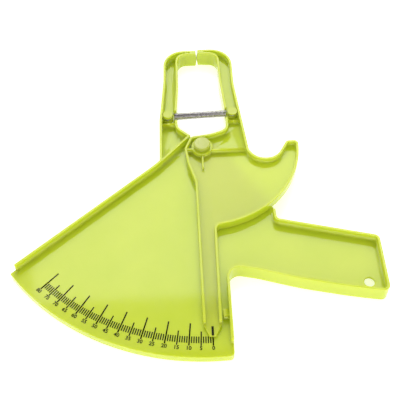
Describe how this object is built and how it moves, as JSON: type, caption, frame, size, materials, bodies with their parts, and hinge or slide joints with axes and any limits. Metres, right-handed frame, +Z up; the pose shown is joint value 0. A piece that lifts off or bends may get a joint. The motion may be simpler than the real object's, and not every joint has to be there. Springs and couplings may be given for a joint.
{
  "type": "skinfold caliper",
  "caption": "Moulded caliper that pinches a fold of skin between two curved jaws and shows its thickness on a fan-shaped scale read by a long sprung pointer",
  "frame": {"origin": "on the pivot axis, in the plane of the frame's flat underside, which the caliper lies on", "axes": "+Z is up, out of the scale face, along the pivot axis; +Y runs from the pivot to the closed jaw tips; +X runs to the side of the handle and trigger"},
  "size_m": [0.2645, 0.282, 0.0178],
  "materials": {
    "lime_frame": "glossy, slightly translucent lime green moulding with fine flow waviness",
    "lime_lever": "glossy, slightly translucent lime green moulding",
    "lime_pin": "satin lime green, paler on its flat top",
    "lime_spool": "glossy lime green",
    "nylon_washer": "off-white nylon, satin",
    "ring_steel": "stamped spring steel",
    "spring_wire": "bright drawn spring wire"
  },
  "bodies": {
    "frame": {"frame": "lime_frame", "pivot_pin": "lime_pin", "thrust_washer": "nylon_washer", "retaining_ring": "ring_steel"},
    "lever": {"lever": "lime_lever"},
    "spring_anchor": {"spring_spool_left": "lime_spool"},
    "spring_hook": {"spring_spool_right": "lime_spool"},
    "spring": {"spring": "spring_wire"}
  },
  "joints": [
    {"name": "lever_open", "type": "hinge", "parent": "frame", "child": "lever", "pos_m": [0, 0, 0.008], "axis": [0, 0, -1], "range_deg": [0, 46], "stiffness_Nm_per_rad": 0.25, "springref_deg": -34.38, "deforming": ["spring"]},
    {"name": "spring_swing", "type": "hinge", "parent": "frame", "child": "spring_anchor", "pos_m": [-0.026, 0.0348, 0.0102], "axis": [0, 0, -1], "range_deg": [0, 23]},
    {"name": "spring_stretch", "type": "slide", "parent": "spring_anchor", "child": "spring", "axis": [1, 0, 0], "range_m": [0, 0.02316]},
    {"name": "hook_swing", "type": "hinge", "parent": "lever", "child": "spring_hook", "pos_m": [0.026, 0.0348, 0.0124], "axis": [0, 0, -1], "range_deg": [-23, 0]}
  ],
  "couplings": [
    {"joint": "spring_swing", "follows": "lever_open", "ratio": 0.5},
    {"joint": "spring_stretch", "follows": "lever_open", "m_per_rad": 0.028724},
    {"joint": "hook_swing", "follows": "lever_open", "ratio": -0.5}
  ]
}
